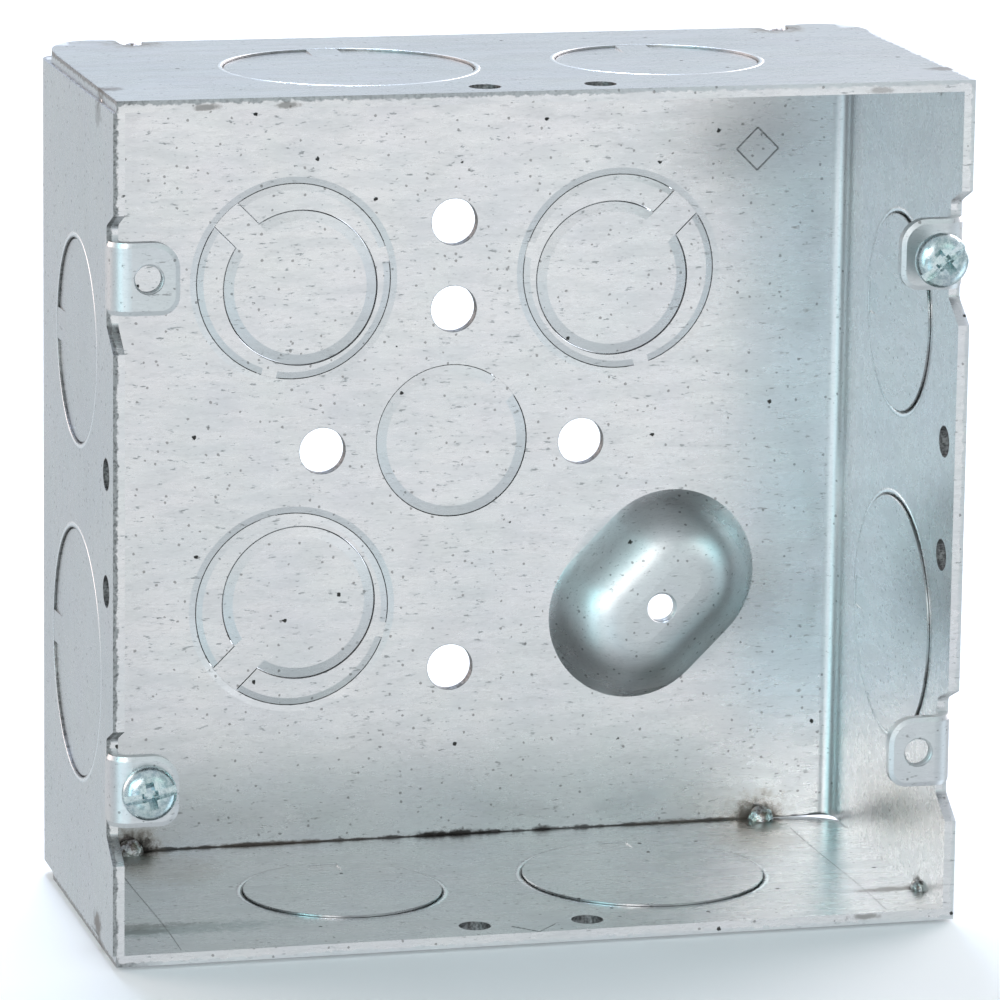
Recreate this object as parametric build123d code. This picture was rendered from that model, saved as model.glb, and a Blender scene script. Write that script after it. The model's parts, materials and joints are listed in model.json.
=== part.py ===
from build123d import *
import math
import os

# Square welded steel junction box, deep pattern.
# Frame: origin at the centre of the back's outer face, +X right, +Z up, the open front faces -Y.

# ---- Driving dimensions, millimetres ----
WIDTH = 119.06            # 4-11/16 in across the side walls
HEIGHT = 118.0            # over the two end plates
DEPTH = 54.2              # back's outer face to the front rim
SHEET = 1.59              # 1/16 in steel sheet
BEND_RADIUS = 2.0         # inside radius where the back turns into the side walls
SIDE_INSET = 0.45         # the end plates stop this far short of the left wall's outer face

SLIT = 0.15               # shear gap around a knockout
RING_SLIT = 0.2           # shear gap between an eccentric disc and its ring
TIE_GAP = 0.03            # hair of clearance at the root of each tie
TRADE_HALF = 22.2 / 2     # knockout radii by conduit trade size: 1/2 in
TRADE_THREE_QUARTER = 28.2 / 2
TRADE_ONE = 34.5 / 2

SIDE_KNOCKOUT_OFFSET = 21.8   # side wall knockouts: distance either side of the wall's middle
SIDE_KNOCKOUT_DEPTH = 28.2    # and their distance forward from the back
SIDE_KNOCKOUT_RISE = 0.5      # the left and right walls carry them this much above the middle
SIDE_SINK = 0.3               # side slugs stand this far into the box
SIDE_TIE_WIDTH = 4.4
SIDE_TIE_RAMP = 5.0           # length over which a sunk slug climbs back to its tie

RING_OFFSET = 23.75           # eccentric knockouts on the back, from the middle of their pattern
RING_PATTERN_CENTRE = (0.45, 0.85)
ECCENTRICITY = 0.95 * math.sqrt(2)    # the disc's centre is this much nearer the box's centre
BRIDGE_WIDTH = 4.6            # strip that ties the disc to the back through its ring
RING_TIE_ANGLE = 60           # the ring's two ties, either side of the point furthest from the bridge
RING_TIE_WIDTH = 2.2
CENTRE_KNOCKOUT = (-0.1, 0.8)
CENTRE_TIE_WIDTH = 3.6
ROLL_WIDTH = 1.4              # rolled edge that punching leaves on a disc's inner face
ROLL_DROP = 0.14
RING_ROLL_WIDTH = 0.9
RING_ROLL_DROP = 0.09

FIXING_HOLE_RADIUS = 3.35
FIXING_HOLES_X = 19.0         # side pair, from the middle of the back
FIXING_HOLES_Z = 32.45        # upper and lower pair
FIXING_HOLE_EXTRA_Z = 19.9    # single hole between the upper one and the centre knockout
RIM_HOLE_RADIUS = 2.15
RIM_HOLE_OFFSET = 8.0
RIM_HOLE_DEPTH = 49.4

BOSS_CENTRE = (29.9, -22.9)
BOSS_ANGLE = 45               # the oval's long axis, above the horizontal
BOSS_HALF_LENGTH = 4.2        # half the distance between the centres of the oval's two ends
BOSS_BASE = 12.3              # half width where the boss leaves the back
BOSS_CROWN = 2.6              # half width of its flat crown
BOSS_RISE = 6.8
BOSS_FULLNESS = 1.9           # over 1 keeps the crown broad
BOSS_FLARE = 1.3              # over 1 eases the flank into the back
BOSS_WALL_THINNING = 0.9      # how much narrower the hollow is than the boss around it
GROUND_HOLE = (29.65, -23.5)
GROUND_HOLE_RADIUS = 2.25

EAR_HOLE_X = 54.35            # cover screw holes, from the middle
EAR_HOLE_Z = 35.0
EAR_SHIFT = -0.2
EAR_DROP = 1.6                # the ear's face lies this far behind the rim
EAR_REACH = 9.4               # from the wall's outer face to the ear's free edge
EAR_HALF_HEIGHT = 4.9
EAR_BEND_RADIUS = 1.3
EAR_CORNER_UPPER = 3.6
EAR_CORNER_LOWER = 2.6
EAR_HOLE_RADIUS = 2.1
EAR_ROLL_WIDTH = 0.65         # rolled edge that punching leaves round the ear's face
EAR_ROLL_DROP = 0.2
NOTCH_DEPTH = 4.6             # relief cut in the rim beside each ear
NOTCH_FLAT_ABOVE = 2.0
NOTCH_FLAT_BELOW = 1.7
NOTCH_TAPER_ABOVE = 2.0
NOTCH_TAPER_BELOW = 3.1
NOTCH_FILLET = 0.8
EAR_FOOT_OVERLAP = 1.2        # the ear's strip starts this far inside the wall, behind the notch

PLATE_CORNER_RADIUS = 8.0     # end plates' back corners
WELD_NOTCH_X = 46.9
WELD_NOTCH_RADIUS = 1.7
WELD_NOTCH_DEPTH = 3.7
WELD_NOTCH_FLARE = 0.35       # the notch's mouth is this much wider each side
TAB_FOLD_DEPTH = 11.0         # where a corner tab's fold meets the plate's side edge
TAB_SPLAY = 3.9               # degrees that the corner tabs lean outward
BACK_WELD_SIZE = (3.8, 3.4, 3.9)
BACK_WELD_DEPTH = 2.45
SIDE_WELD_SIZE = (2.7, 3.4, 2.7)
SIDE_WELD_DEPTH = 43.5

SCREW_HEAD_RADIUS = 3.75
SCREW_HEAD_HEIGHT = 2.4
SCREW_DOME_RISE = 1.5
SCREW_SHANK_RADIUS = 2.03     # No. 8 thread, drawn at its major diameter
SCREW_LENGTH = 9.5            # under the head
SCREW_SLOT_WIDTH = 1.25
SCREW_SLOT_DEPTH = 1.1
SCREW_CROSS_WIDTH = 1.0
SCREW_CROSS_SPAN = 3.6
SCREW_CROSS_DEPTH = 1.7
SCREW_TIP_CHAMFER = 0.5
LOOSE_SCREW_STANDOFF = 3.9    # upper right screw, partly backed out
TIGHT_SCREW_STANDOFF = 0.05   # lower left screw, run in
LOOSE_SCREW_TURN = 40         # slot angles, above the horizontal
TIGHT_SCREW_TURN = 11

# ---- Worked out from the above ----
HALF_WIDTH = WIDTH / 2
HALF_HEIGHT = HEIGHT / 2
WALL_HEIGHT = HEIGHT - 2 * SHEET
BEND_OUTER = BEND_RADIUS + SHEET
EAR_FACE = DEPTH - EAR_DROP
EAR_BEND_OUTER = EAR_BEND_RADIUS + SHEET
FAR = 300                     # longer than anything in the box

os.makedirs("parts", exist_ok=True)


# ---- Wall frames: local z = 0 on the wall's outer face and rises into the box ----
def wall_plane(wall):
    """Origin at the middle of the wall's back edge. Local y runs forward, or up on the back."""
    planes = {
        "top": Plane((0, 0, HALF_HEIGHT), x_dir=(1, 0, 0), z_dir=(0, 0, -1)),
        "bottom": Plane((0, 0, -HALF_HEIGHT), x_dir=(-1, 0, 0), z_dir=(0, 0, 1)),
        "left": Plane((-HALF_WIDTH, 0, 0), x_dir=(0, 0, 1), z_dir=(1, 0, 0)),
        "right": Plane((HALF_WIDTH, 0, 0), x_dir=(0, 0, -1), z_dir=(-1, 0, 0)),
        "back": Plane((0, 0, 0), x_dir=(1, 0, 0), z_dir=(0, -1, 0)),
    }
    return planes[wall]


# Local x of the walls runs along world +X, -X, +Z and -Z.
WALL_SIGN = {"top": 1, "bottom": -1, "left": 1, "right": -1}
SIDE_KNOCKOUTS = {
    "knockout_top_left": ("top", -SIDE_KNOCKOUT_OFFSET, TRADE_ONE),
    "knockout_top_right": ("top", SIDE_KNOCKOUT_OFFSET, TRADE_THREE_QUARTER),
    "knockout_bottom_left": ("bottom", -SIDE_KNOCKOUT_OFFSET, TRADE_THREE_QUARTER),
    "knockout_bottom_right": ("bottom", SIDE_KNOCKOUT_OFFSET, TRADE_ONE),
    "knockout_left_upper": ("left", SIDE_KNOCKOUT_OFFSET + SIDE_KNOCKOUT_RISE, TRADE_THREE_QUARTER),
    "knockout_left_lower": ("left", -SIDE_KNOCKOUT_OFFSET + SIDE_KNOCKOUT_RISE, TRADE_ONE),
    "knockout_right_upper": ("right", SIDE_KNOCKOUT_OFFSET + SIDE_KNOCKOUT_RISE, TRADE_THREE_QUARTER),
    "knockout_right_lower": ("right", -SIDE_KNOCKOUT_OFFSET + SIDE_KNOCKOUT_RISE, TRADE_ONE),
}
# Eccentric knockouts: side of the back, then the turn that points the bridge at that box corner.
RING_KNOCKOUTS = {
    "upper_left": (-1, 1, 225),
    "upper_right": (1, 1, 135),
    "lower_left": (-1, -1, -45),
}
CENTRE_TURN = 135             # the centre knockout's tie is at its upper right


def side_seat(name):
    """Location of a side knockout: local -y points at its tie, which is on the back's side."""
    wall, along, _ = SIDE_KNOCKOUTS[name]
    return wall_plane(wall) * Pos(WALL_SIGN[wall] * along, SIDE_KNOCKOUT_DEPTH, 0)


def ring_seat(corner):
    """Location of an eccentric knockout: local -y points at its bridge."""
    side_x, side_z, turn = RING_KNOCKOUTS[corner]
    x = RING_PATTERN_CENTRE[0] + side_x * RING_OFFSET
    z = RING_PATTERN_CENTRE[1] + side_z * RING_OFFSET
    return wall_plane("back") * Pos(x, z, 0) * Rot(0, 0, turn)


def centre_seat():
    return wall_plane("back") * Pos(*CENTRE_KNOCKOUT, 0) * Rot(0, 0, CENTRE_TURN)


# ---- Small shapes, drawn on a wall's local frame ----
def column(radius, low=-1.0, high=SHEET + 1.0):
    return Pos(0, 0, low) * Cylinder(radius, high - low, align=(Align.CENTER, Align.CENTER, Align.MIN))


def block(x_range, y_range, z_range):
    size = [high - low for low, high in (x_range, y_range, z_range)]
    return Pos(x_range[0], y_range[0], z_range[0]) * Box(*size, align=(Align.MIN,) * 3)


def rolled_disc(radius, roll_width, roll_drop):
    """Disc one sheet thick whose inner face slopes away at its edge."""
    body = column(radius, 0, SHEET - roll_drop)
    crown = Cone(radius, radius - roll_width, roll_drop, align=(Align.CENTER, Align.CENTER, Align.MIN))
    return body + Pos(0, 0, SHEET - roll_drop) * crown


def rolled_hole(radius):
    """Cutter for a hole whose rim slopes away on the inner face."""
    outer = radius + RING_ROLL_WIDTH
    flare = Cone(radius, outer, RING_ROLL_DROP, align=(Align.CENTER, Align.CENTER, Align.MIN))
    return column(radius) + Pos(0, 0, SHEET - RING_ROLL_DROP) * flare


def side_slug(radius):
    """Slug sunk into the box, with a sloping tie at local -y that reaches the wall."""
    disc = Pos(0, 0, SIDE_SINK) * column(radius - SLIT, 0, SHEET)
    root = -radius + TIE_GAP
    crest = root + SIDE_TIE_RAMP
    profile = Plane.YZ * Polygon(
        (root, 0), (crest, SIDE_SINK), (crest, SIDE_SINK + SHEET), (root, SHEET), align=None
    )
    tie = extrude(profile, SIDE_TIE_WIDTH / 2, both=True)
    seat = block((-SIDE_TIE_WIDTH / 2, SIDE_TIE_WIDTH / 2), (root, crest), (-1, 2 * SHEET))
    return disc - seat + (tie & column(radius - TIE_GAP))


def flat_slug(radius, tie_width):
    """Flush disc with a rolled edge and a tie at local -y."""
    disc = rolled_disc(radius - SLIT, ROLL_WIDTH, ROLL_DROP)
    tie = block((-tie_width / 2, tie_width / 2), (-radius, -radius + 2 * ROLL_WIDTH), (0, SHEET))
    return disc + (tie & column(radius - TIE_GAP))


def eccentric_disc():
    """Inner disc of an eccentric knockout with the bridge strip that ties it to the back."""
    disc = Pos(0, ECCENTRICITY, 0) * rolled_disc(TRADE_HALF - RING_SLIT / 2, ROLL_WIDTH, ROLL_DROP)
    near_edge = ECCENTRICITY - TRADE_HALF + 2 * ROLL_WIDTH
    bridge = block((-BRIDGE_WIDTH / 2, BRIDGE_WIDTH / 2), (-TRADE_THREE_QUARTER, near_edge), (0, SHEET))
    return disc + (bridge & column(TRADE_THREE_QUARTER - TIE_GAP))


def eccentric_ring():
    """C-shaped ring around the disc, split by the bridge and tied to the back at two nubs."""
    ring = rolled_disc(TRADE_THREE_QUARTER - SLIT, RING_ROLL_WIDTH, RING_ROLL_DROP)
    ring -= Pos(0, ECCENTRICITY, 0) * column(TRADE_HALF + RING_SLIT / 2)
    half_split = BRIDGE_WIDTH / 2 + SLIT
    ring -= block((-half_split, half_split), (-FAR, 0), (-1, SHEET + 1))
    inner = TRADE_THREE_QUARTER - 2 * RING_ROLL_WIDTH
    nub = block((-RING_TIE_WIDTH / 2, RING_TIE_WIDTH / 2), (inner, TRADE_THREE_QUARTER), (0, SHEET))
    for turn in (RING_TIE_ANGLE, -RING_TIE_ANGLE):
        ring += Rot(0, 0, turn) * (nub & column(TRADE_THREE_QUARTER - TIE_GAP))
    return ring


def oval(half_width, half_length):
    return SlotCenterToCenter(2 * half_length, 2 * half_width)


def oval_dome(narrowing):
    """Pressed oval dome on local z = 0, rising by BOSS_RISE, less narrowing all round."""
    steps = 9
    sections = []
    for step in range(steps + 1):
        width = BOSS_BASE + (BOSS_CROWN - BOSS_BASE) * step / steps
        lean = math.cos(math.pi / 2 * (width / BOSS_BASE) ** BOSS_FULLNESS)
        rise = BOSS_RISE * max(lean, 0) ** BOSS_FLARE
        sections.append(Pos(0, 0, rise) * oval(width - narrowing, BOSS_HALF_LENGTH))
    return loft(sections)


def boss_seat():
    return wall_plane("back") * Pos(*BOSS_CENTRE, 0) * Rot(0, 0, BOSS_ANGLE)


# ---- Cover screw ears, folded in from the side walls ----
def ear_seats():
    """Middle of each ear at the rim plane: local x points into the box, local z is world Z."""
    for side in (-1, 1):
        for level in (EAR_HOLE_Z, -EAR_HOLE_Z):
            yield side, level + EAR_SHIFT


def mirrored_at_right(shape, side):
    return shape if side < 0 else mirror(shape, Plane.YZ)


def ear_relief():
    """Rim cutter beside and through an ear, for the left wall, around the ear's middle."""
    root = -DEPTH + NOTCH_DEPTH
    above = EAR_HALF_HEIGHT + NOTCH_FLAT_ABOVE
    below = EAR_HALF_HEIGHT + NOTCH_FLAT_BELOW
    outline = Polygon(
        (root, above), (-DEPTH, above + NOTCH_TAPER_ABOVE), (-FAR, above + NOTCH_TAPER_ABOVE),
        (-FAR, -below - NOTCH_TAPER_BELOW), (-DEPTH, -below - NOTCH_TAPER_BELOW), (root, -below),
        align=None,
    )
    cutter = extrude(Plane.YZ * outline, SHEET + 1, both=True)
    inner_edges = cutter.edges().filter_by(Axis.X).group_by(Axis.Y)[-1]
    return Pos(-HALF_WIDTH, 0, 0) * fillet(inner_edges, NOTCH_FILLET)


def ear():
    """Ear of the left wall around z = 0: the wall bends 90 degrees inward behind the rim."""
    wall_x = -HALF_WIDTH
    foot = -DEPTH + NOTCH_DEPTH + EAR_FOOT_OVERLAP
    bend = -EAR_FACE + EAR_BEND_OUTER
    tip = wall_x + EAR_REACH
    bend_end = wall_x + EAR_BEND_OUTER
    middle = (bend_end, bend)
    outline = [
        Line((wall_x, foot), (wall_x, bend)),
        CenterArc(middle, EAR_BEND_OUTER, 180, 90),
        Line((bend_end, -EAR_FACE), (tip, -EAR_FACE)),
        Line((tip, -EAR_FACE), (tip, -EAR_FACE + SHEET)),
        Line((tip, -EAR_FACE + SHEET), (bend_end, -EAR_FACE + SHEET)),
        CenterArc(middle, EAR_BEND_RADIUS, 270, -90),
        Line((wall_x + SHEET, bend), (wall_x + SHEET, foot)),
        Line((wall_x + SHEET, foot), (wall_x, foot)),
    ]
    strip = extrude(make_face(outline), EAR_HALF_HEIGHT, both=True)
    upper = strip.edges().filter_by(Axis.Y).filter_by_position(Axis.X, tip - 0.1, tip + 0.1)
    strip = fillet(upper.sort_by(Axis.Z)[-1], EAR_CORNER_UPPER)
    lower = strip.edges().filter_by(Axis.Y).filter_by_position(Axis.X, tip - 0.1, tip + 0.1)
    strip = fillet(lower.sort_by(Axis.Z)[0], EAR_CORNER_LOWER)
    face_edges = strip.faces().filter_by(Axis.Y).sort_by(Axis.Y)[0].edges()
    free_edges = face_edges.filter_by_position(Axis.X, bend_end + 0.1, tip + 0.1)
    face = strip.faces().filter_by(Axis.Y).sort_by(Axis.Y)[0]
    strip = chamfer(free_edges, EAR_ROLL_WIDTH, EAR_ROLL_DROP, reference=face)
    hole = Pos(-EAR_HOLE_X, -EAR_FACE + SHEET / 2, 0) * Rot(90, 0, 0) * Cylinder(EAR_HOLE_RADIUS, 3 * SHEET)
    return strip - hole


# ---- Wrap: back and side walls in one bent sheet ----
def wrap_shell():
    outer = [
        Line((-HALF_WIDTH, -DEPTH), (-HALF_WIDTH, -BEND_OUTER)),
        CenterArc((-HALF_WIDTH + BEND_OUTER, -BEND_OUTER), BEND_OUTER, 180, -90),
        Line((-HALF_WIDTH + BEND_OUTER, 0), (HALF_WIDTH - BEND_OUTER, 0)),
        CenterArc((HALF_WIDTH - BEND_OUTER, -BEND_OUTER), BEND_OUTER, 90, -90),
        Line((HALF_WIDTH, -BEND_OUTER), (HALF_WIDTH, -DEPTH)),
        Line((HALF_WIDTH, -DEPTH), (HALF_WIDTH - SHEET, -DEPTH)),
        Line((HALF_WIDTH - SHEET, -DEPTH), (HALF_WIDTH - SHEET, -BEND_OUTER)),
        CenterArc((HALF_WIDTH - BEND_OUTER, -BEND_OUTER), BEND_RADIUS, 0, 90),
        Line((HALF_WIDTH - BEND_OUTER, -SHEET), (-HALF_WIDTH + BEND_OUTER, -SHEET)),
        CenterArc((-HALF_WIDTH + BEND_OUTER, -BEND_OUTER), BEND_RADIUS, 90, 90),
        Line((-HALF_WIDTH + SHEET, -BEND_OUTER), (-HALF_WIDTH + SHEET, -DEPTH)),
        Line((-HALF_WIDTH + SHEET, -DEPTH), (-HALF_WIDTH, -DEPTH)),
    ]
    return extrude(make_face(outer), WALL_HEIGHT / 2, both=True)


def fixing_holes():
    places = [
        (FIXING_HOLES_X, 0), (-FIXING_HOLES_X, 0),
        (0, FIXING_HOLES_Z), (0, -FIXING_HOLES_Z), (0, FIXING_HOLE_EXTRA_Z),
    ]
    return [wall_plane("back") * Pos(x, z, 0) * column(FIXING_HOLE_RADIUS) for x, z in places]


def rim_holes(wall):
    places = (-RIM_HOLE_OFFSET, RIM_HOLE_OFFSET)
    return [wall_plane(wall) * Pos(x, RIM_HOLE_DEPTH, 0) * column(RIM_HOLE_RADIUS) for x in places]


def side_openings(wall):
    names = [name for name, place in SIDE_KNOCKOUTS.items() if place[0] == wall]
    return [side_seat(name) * column(SIDE_KNOCKOUTS[name][2]) for name in names]


def make_wrap():
    shell = wrap_shell()
    cutters = fixing_holes() + [centre_seat() * column(TRADE_HALF)]
    cutters += [ring_seat(corner) * rolled_hole(TRADE_THREE_QUARTER) for corner in RING_KNOCKOUTS]
    for wall in ("left", "right"):
        cutters += rim_holes(wall) + side_openings(wall)
    for side, level in ear_seats():
        cutters.append(Pos(0, 0, level) * mirrored_at_right(ear_relief(), side))
    for cutter in cutters:
        shell -= cutter
    hollow = boss_seat() * oval_dome(BOSS_WALL_THINNING)
    dome = boss_seat() * Pos(0, 0, SHEET) * oval_dome(0)
    through_boss = column(GROUND_HOLE_RADIUS, -1, BOSS_RISE + 2 * SHEET)
    ground_hole = wall_plane("back") * Pos(*GROUND_HOLE, 0) * through_boss
    shell = shell + dome - hollow - ground_hole
    for side, level in ear_seats():
        shell += Pos(0, 0, level) * mirrored_at_right(ear(), side)
    return shell


# ---- End plates over the ends of the wrap ----
def plate_blank():
    """Top plate as a flat sheet, its back corners rounded and notched for the back seam's welds."""
    left = -HALF_WIDTH + SIDE_INSET
    low = HALF_HEIGHT - SHEET
    sheet = block((left, HALF_WIDTH), (-DEPTH, 0), (low, HALF_HEIGHT))
    corners = sheet.edges().filter_by(Axis.Z).group_by(Axis.Y)[-1]
    sheet = fillet(corners, PLATE_CORNER_RADIUS)
    for x in (-WELD_NOTCH_X, WELD_NOTCH_X):
        root = -WELD_NOTCH_DEPTH + WELD_NOTCH_RADIUS
        sheet -= Pos(x, root, HALF_HEIGHT) * Cylinder(WELD_NOTCH_RADIUS, 3 * SHEET)
        half_mouth = WELD_NOTCH_RADIUS + WELD_NOTCH_FLARE
        mouth = Polygon(
            (x - WELD_NOTCH_RADIUS, root), (x + WELD_NOTCH_RADIUS, root),
            (x + half_mouth, 1), (x - half_mouth, 1), align=None,
        )
        sheet -= Pos(0, 0, low) * extrude(mouth, 2 * SHEET, both=True)
    return sheet


def splay_tabs(sheet):
    """Lean both back corner tabs of the top plate outward about a fold from notch to side edge."""
    low = HALF_HEIGHT - SHEET
    for side in (-1, 1):
        start = Vector(side * WELD_NOTCH_X, -WELD_NOTCH_DEPTH, low)
        end = Vector(side * HALF_WIDTH, -TAB_FOLD_DEPTH, low)
        fold = Axis(start, end - start)
        beyond = Vector(side * FAR, 0, low)
        region = Polyline(start, end, (side * FAR, -TAB_FOLD_DEPTH, low), beyond + Vector(0, FAR, 0),
                          (side * WELD_NOTCH_X, FAR, low), close=True)
        mask = extrude(make_face(region), 2 * SHEET, both=True, dir=(0, 0, 1))
        tab = (sheet & mask).rotate(fold, side * TAB_SPLAY)
        sheet = sheet - mask + tab
    return sheet


def make_plate(wall):
    plate = splay_tabs(plate_blank())
    if wall == "bottom":
        plate = mirror(plate, Plane.XY)
    for cutter in rim_holes(wall) + side_openings(wall):
        plate -= cutter
    return plate


# ---- Welds ----
def lens(size):
    return scale(Sphere(0.5), by=size)


def back_seam_welds(wall_side, solids):
    """Two nuggets that fill an end plate's notches and stand proud inside the box."""
    level = wall_side * (HALF_HEIGHT - SHEET)
    nuggets = []
    for side in (-1, 1):
        nugget = Pos(side * WELD_NOTCH_X, -BACK_WELD_DEPTH, level) * lens(BACK_WELD_SIZE)
        for solid in solids:
            nugget -= solid
        nuggets.append(nugget)
    return nuggets


def side_seam_welds(wall_side):
    """Two nuggets in the corners between an end plate and the side walls, near the rim."""
    x = HALF_WIDTH - SHEET
    z = wall_side * (HALF_HEIGHT - SHEET)
    inside = block((-x, x), (-DEPTH, 0), (-abs(z), abs(z)))
    return [Pos(side * x, -SIDE_WELD_DEPTH, z) * lens(SIDE_WELD_SIZE) & inside for side in (-1, 1)]


# ---- Cover screws ----
def make_screw(standoff, turn):
    """Pan head machine screw, head towards -Y, its ear hole on the local Y axis."""
    dome_radius = (SCREW_HEAD_RADIUS ** 2 + SCREW_DOME_RISE ** 2) / (2 * SCREW_DOME_RISE)
    head = column(SCREW_HEAD_RADIUS, 0, SCREW_HEAD_HEIGHT)
    cap = Pos(0, 0, SCREW_HEAD_HEIGHT - dome_radius) * Sphere(dome_radius)
    head = head & cap
    slot = block(
        (-FAR, FAR), (-SCREW_SLOT_WIDTH / 2, SCREW_SLOT_WIDTH / 2),
        (SCREW_HEAD_HEIGHT - SCREW_SLOT_DEPTH, FAR),
    )
    cross = block(
        (-SCREW_CROSS_WIDTH / 2, SCREW_CROSS_WIDTH / 2), (-SCREW_CROSS_SPAN / 2, SCREW_CROSS_SPAN / 2),
        (SCREW_HEAD_HEIGHT - SCREW_CROSS_DEPTH, FAR),
    )
    head = head - slot - cross
    shank = column(SCREW_SHANK_RADIUS, -SCREW_LENGTH, 0.01)
    tip = shank.edges().group_by(Axis.Z)[0]
    screw = Rot(0, 0, turn) * (head + chamfer(tip, SCREW_TIP_CHAMFER))
    ear_face = Plane((0, -EAR_FACE, 0), x_dir=(1, 0, 0), z_dir=(0, -1, 0))
    return ear_face * Pos(0, 0, standoff) * screw


# ---- Build every piece ----
def save(name, shapes):
    solids = [solid for shape in shapes for solid in shape.solids()]
    shape = solids[0] if len(solids) == 1 else Compound(children=solids)
    export_step(shape, os.path.join("parts", name + ".step"))


def build():
    wrap = make_wrap()
    save("wrap_body", [wrap])
    plates = {wall: make_plate(wall) for wall in ("top", "bottom")}
    for wall, wall_side in (("top", 1), ("bottom", -1)):
        plate = plates[wall]
        save(wall + "_end_plate", [plate])
        save("back_seam_welds_" + wall, back_seam_welds(wall_side, (wrap, plate)))
        save("side_seam_welds_" + wall, side_seam_welds(wall_side))
    for name, (_, _, radius) in SIDE_KNOCKOUTS.items():
        save(name, [side_seat(name) * side_slug(radius)])
    save("knockout_back_centre", [centre_seat() * flat_slug(TRADE_HALF, CENTRE_TIE_WIDTH)])
    for corner in RING_KNOCKOUTS:
        save("eccentric_disc_" + corner, [ring_seat(corner) * eccentric_disc()])
        save("eccentric_ring_" + corner, [ring_seat(corner) * eccentric_ring()])
    upper_right = Pos(EAR_HOLE_X, 0, EAR_HOLE_Z + EAR_SHIFT)
    save("cover_screw_upper_right", [upper_right * make_screw(LOOSE_SCREW_STANDOFF, LOOSE_SCREW_TURN)])
    lower_left = Pos(-EAR_HOLE_X, 0, -EAR_HOLE_Z + EAR_SHIFT)
    save("cover_screw_lower_left", [lower_left * make_screw(TIGHT_SCREW_STANDOFF, TIGHT_SCREW_TURN)])


build()
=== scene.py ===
"""Looks for a square, welded, galvanized electrical junction box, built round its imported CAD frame."""
import math

import bmesh
import bpy
from mathutils import Euler, Matrix, Vector, noise
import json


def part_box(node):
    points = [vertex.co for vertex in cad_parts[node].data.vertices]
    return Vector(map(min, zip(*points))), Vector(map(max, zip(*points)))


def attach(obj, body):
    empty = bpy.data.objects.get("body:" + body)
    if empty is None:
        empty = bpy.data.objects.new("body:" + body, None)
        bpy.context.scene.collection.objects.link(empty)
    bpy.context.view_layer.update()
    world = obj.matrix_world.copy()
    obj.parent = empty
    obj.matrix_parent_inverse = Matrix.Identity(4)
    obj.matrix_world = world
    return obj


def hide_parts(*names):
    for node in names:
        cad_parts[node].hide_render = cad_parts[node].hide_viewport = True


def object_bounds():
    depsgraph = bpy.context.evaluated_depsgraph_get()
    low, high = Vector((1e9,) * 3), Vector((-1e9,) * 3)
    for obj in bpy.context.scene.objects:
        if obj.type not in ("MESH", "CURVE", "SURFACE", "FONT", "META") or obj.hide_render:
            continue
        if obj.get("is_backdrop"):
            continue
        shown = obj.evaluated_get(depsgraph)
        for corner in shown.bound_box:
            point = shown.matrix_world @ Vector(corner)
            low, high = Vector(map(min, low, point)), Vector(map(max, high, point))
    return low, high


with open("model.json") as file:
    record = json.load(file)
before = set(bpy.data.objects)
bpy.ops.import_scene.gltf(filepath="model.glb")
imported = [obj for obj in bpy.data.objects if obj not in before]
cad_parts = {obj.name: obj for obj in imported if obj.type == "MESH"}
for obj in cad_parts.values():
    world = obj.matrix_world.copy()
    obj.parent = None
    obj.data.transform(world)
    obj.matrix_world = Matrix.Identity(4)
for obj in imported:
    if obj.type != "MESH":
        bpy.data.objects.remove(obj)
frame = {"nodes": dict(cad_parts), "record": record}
cad_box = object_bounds()

MM = 0.001

# ---- Places, in millimetres, worked out from the CAD nodes ----
BODY = "box"


def node_box(node):
    low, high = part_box(node)
    return low / MM, high / MM


wrap_low, wrap_high = node_box("wrap_body")
HALF_WIDTH = wrap_high.x
DEPTH = -wrap_low.y
SHEET = 1.59                           # thickness of the steel
WALL_TOP = wrap_high.z                 # the wrap's upper edge, where the top plate lies on it
HALF_HEIGHT = WALL_TOP + SHEET


def inward_from(node):
    """Direction into the box, square to the wall that a knockout is in."""
    low, high = node_box(node)
    size = high - low
    axis = min(range(3), key=lambda i: size[i])
    sign = -1 if axis == 1 or low[axis] > 0 else 1
    return Vector([sign if i == axis else 0 for i in range(3)])


def outer_middle(node, inward):
    """Middle of a knockout, on the outer face of its wall."""
    low, high = node_box(node)
    middle = (low + high) / 2
    face = {0: HALF_WIDTH, 1: 0.0, 2: HALF_HEIGHT}[max(range(3), key=lambda i: abs(inward[i]))]
    return middle - inward * (middle.dot(inward) + face)


def tie_place(node):
    joints = frame["record"]["behaviour"]["joints"]
    return Vector(next(joint["pos_m"] for joint in joints if joint["name"] == node + "_tie")) / MM


def level_direction(start, end, inward):
    way = end - start
    way -= inward * way.dot(inward)
    return way.normalized(), way.length


# Knockouts of the four walls: middle on the outer face, way into the box, radius.
PUNCHED = []
for node in frame["nodes"]:
    if node.startswith("knockout") and "back" not in node:
        inward = inward_from(node)
        middle = outer_middle(node, inward)
        PUNCHED.append((middle, inward, level_direction(middle, tie_place(node), inward)[1]))


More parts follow.
